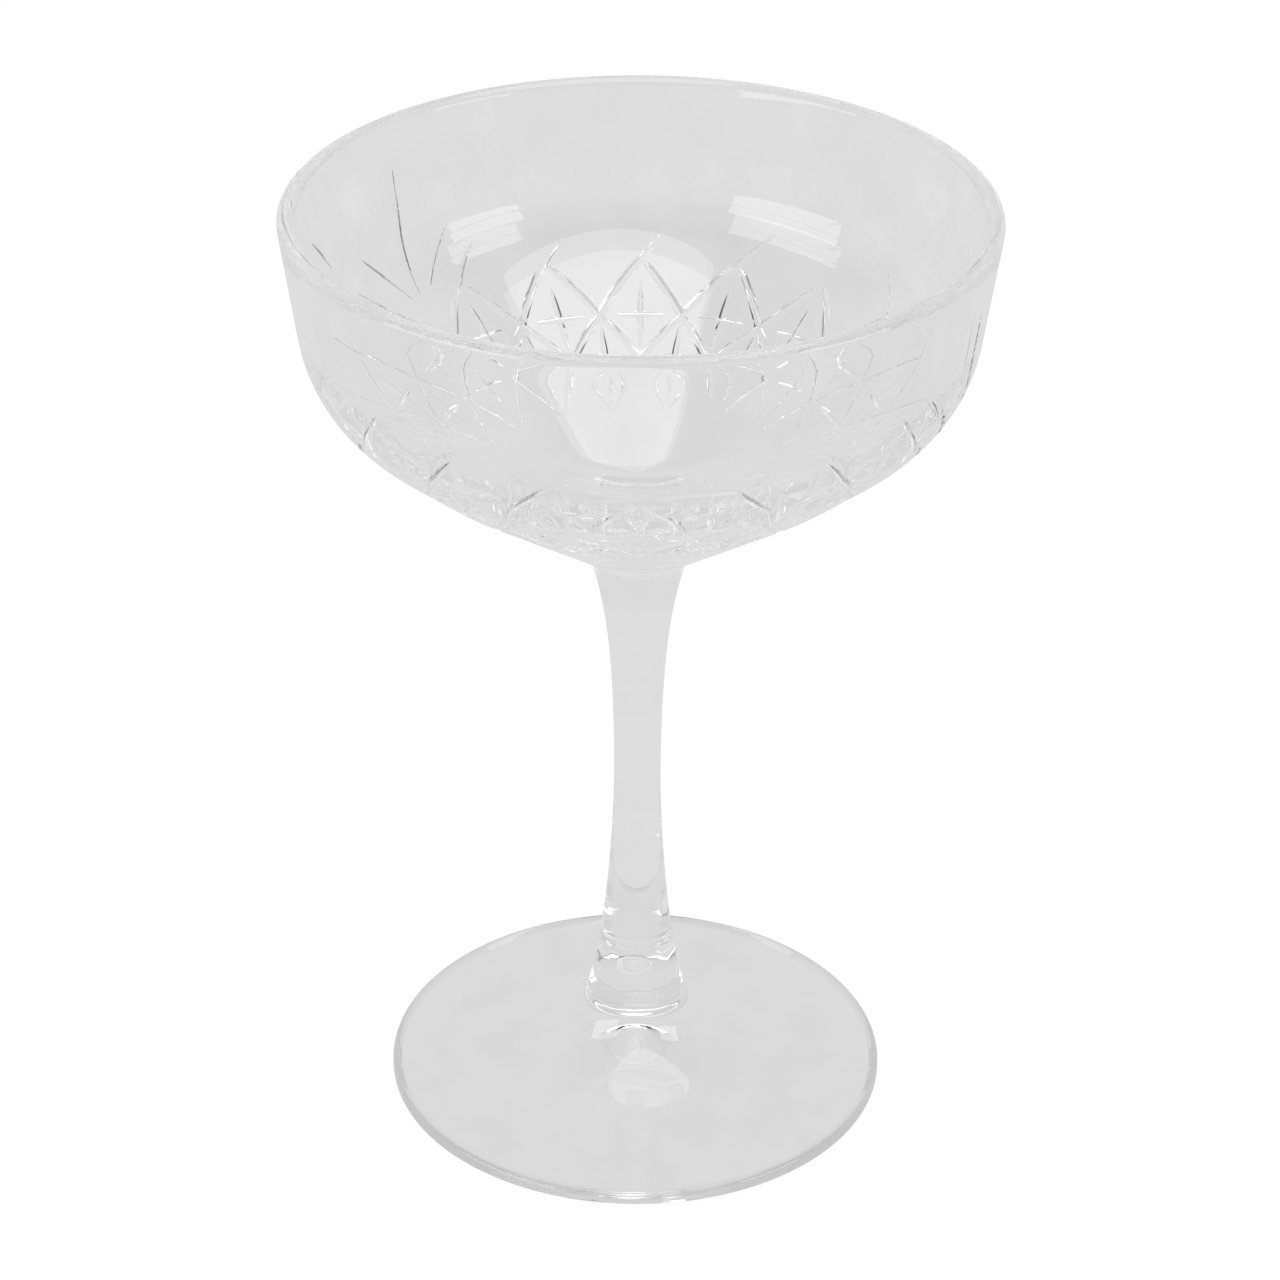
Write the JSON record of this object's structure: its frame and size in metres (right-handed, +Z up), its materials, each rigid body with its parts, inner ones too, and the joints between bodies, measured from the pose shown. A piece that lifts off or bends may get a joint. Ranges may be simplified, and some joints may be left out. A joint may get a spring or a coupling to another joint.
{
  "type": "stemmed glass",
  "caption": "Stemmed coupe glass: wide shallow bowl with a rounded shoulder on a slim waisted stem and a round disc foot, for serving drinks.",
  "frame": {"origin": "on the surface the glass stands on, under the middle of the foot", "axes": "+Z up along the axis that the three pieces are turned about; +X and +Y are any two square directions"},
  "size_m": [0.1024, 0.1024, 0.147],
  "materials": {
    "clear_glass": "clear, fire-polished"
  },
  "bodies": {
    "root": {"bowl": "clear_glass", "stem": "clear_glass", "foot": "clear_glass"}
  },
  "joints": []
}
